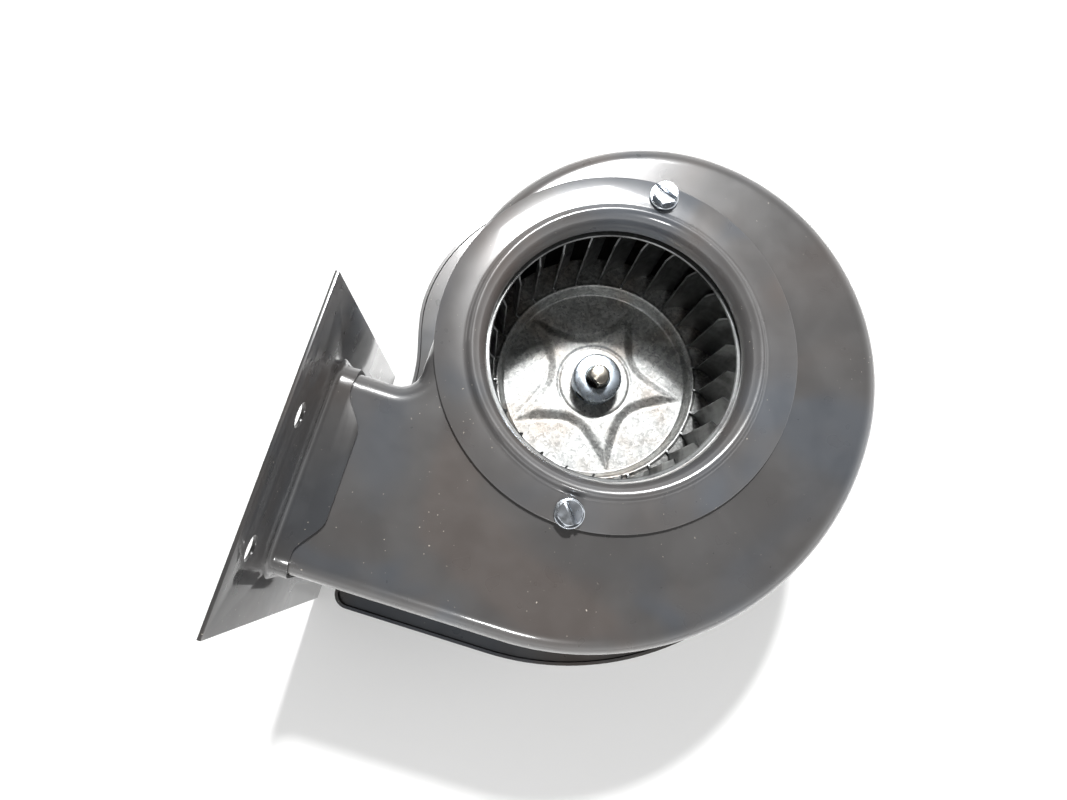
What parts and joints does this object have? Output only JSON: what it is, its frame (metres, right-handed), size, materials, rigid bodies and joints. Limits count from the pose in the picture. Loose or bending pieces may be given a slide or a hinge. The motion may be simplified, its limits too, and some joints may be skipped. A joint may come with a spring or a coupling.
{
  "type": "combustion fan",
  "caption": "Scroll-housed combustion air fan with a bell-mouth inlet, bladed wheel, rectangular outlet flange and a shaded-pole motor behind",
  "frame": {"origin": "centre of the base of the whole object's box, at the level of the outlet flange's rear edge and the motor's rear boss", "axes": "+Z along the fan shaft towards the inlet; -X the way the air leaves through the outlet flange; +Y across the outlet duct towards the top of the scroll"},
  "size_m": [0.1918, 0.2114, 0.1514],
  "materials": {
    "housing_paint": "glossy dark warm grey paint",
    "inlet_paint": "glossy dark warm grey paint",
    "flange_paint": "semi-gloss dark grey paint",
    "zinc_plate": "bright zinc plate",
    "blade_steel": "cold-rolled steel strip, darkened by oil",
    "galvanised": "galvanised sheet with spangle",
    "hub_zinc": "blue-white zinc plate, turned",
    "black_steel": "black oxide",
    "shaft_steel": "ground steel",
    "cast_zinc": "die cast",
    "bronze": "sintered bronze",
    "lamination": "stacked laminations, varnished",
    "copper": "bare copper",
    "nylon": "natural nylon",
    "coil_tape": "varnished winding tape",
    "aluminium": "cast"
  },
  "bodies": {
    "housing": {"front_shell": "housing_paint", "rear_plate": "housing_paint", "inlet_ring": "inlet_paint", "inlet_screw_1": "zinc_plate", "inlet_screw_2": "zinc_plate", "outlet_flange": "flange_paint", "front_bracket": "cast_zinc", "rear_bracket": "cast_zinc", "front_bearing": "bronze", "rear_bearing": "bronze", "stator_core": "lamination", "shading_ring_1": "copper", "shading_ring_2": "copper", "coil_bobbin": "nylon", "coil_winding": "coil_tape", "terminal_1": "zinc_plate", "terminal_2": "zinc_plate", "through_bolt_1": "zinc_plate", "through_bolt_2": "zinc_plate", "motor_screw_1": "zinc_plate", "motor_screw_2": "zinc_plate"},
    "wheel": {"wheel_front_ring": "blade_steel", "wheel_back_plate": "galvanised", "blade_01": "blade_steel", "blade_02": "blade_steel", "blade_03": "blade_steel", "blade_04": "blade_steel", "blade_05": "blade_steel", "blade_06": "blade_steel", "blade_07": "blade_steel", "blade_08": "blade_steel", "blade_09": "blade_steel", "blade_10": "blade_steel", "blade_11": "blade_steel", "blade_12": "blade_steel", "blade_13": "blade_steel", "blade_14": "blade_steel", "blade_15": "blade_steel", "blade_16": "blade_steel", "blade_17": "blade_steel", "blade_18": "blade_steel", "blade_19": "blade_steel", "blade_20": "blade_steel", "blade_21": "blade_steel", "blade_22": "blade_steel", "blade_23": "blade_steel", "blade_24": "blade_steel", "blade_25": "blade_steel", "blade_26": "blade_steel", "blade_27": "blade_steel", "wheel_hub": "hub_zinc", "hub_set_screw": "black_steel", "motor_shaft": "shaft_steel", "rotor_core": "lamination", "rotor_end_ring_front": "aluminium", "rotor_end_ring_rear": "aluminium"}
  },
  "joints": [
    {"name": "wheel_spin", "type": "hinge", "parent": "housing", "child": "wheel", "pos_m": [-0.00907, 0.01395, 0.0614], "axis": [0, 0, 1], "continuous": true}
  ]
}
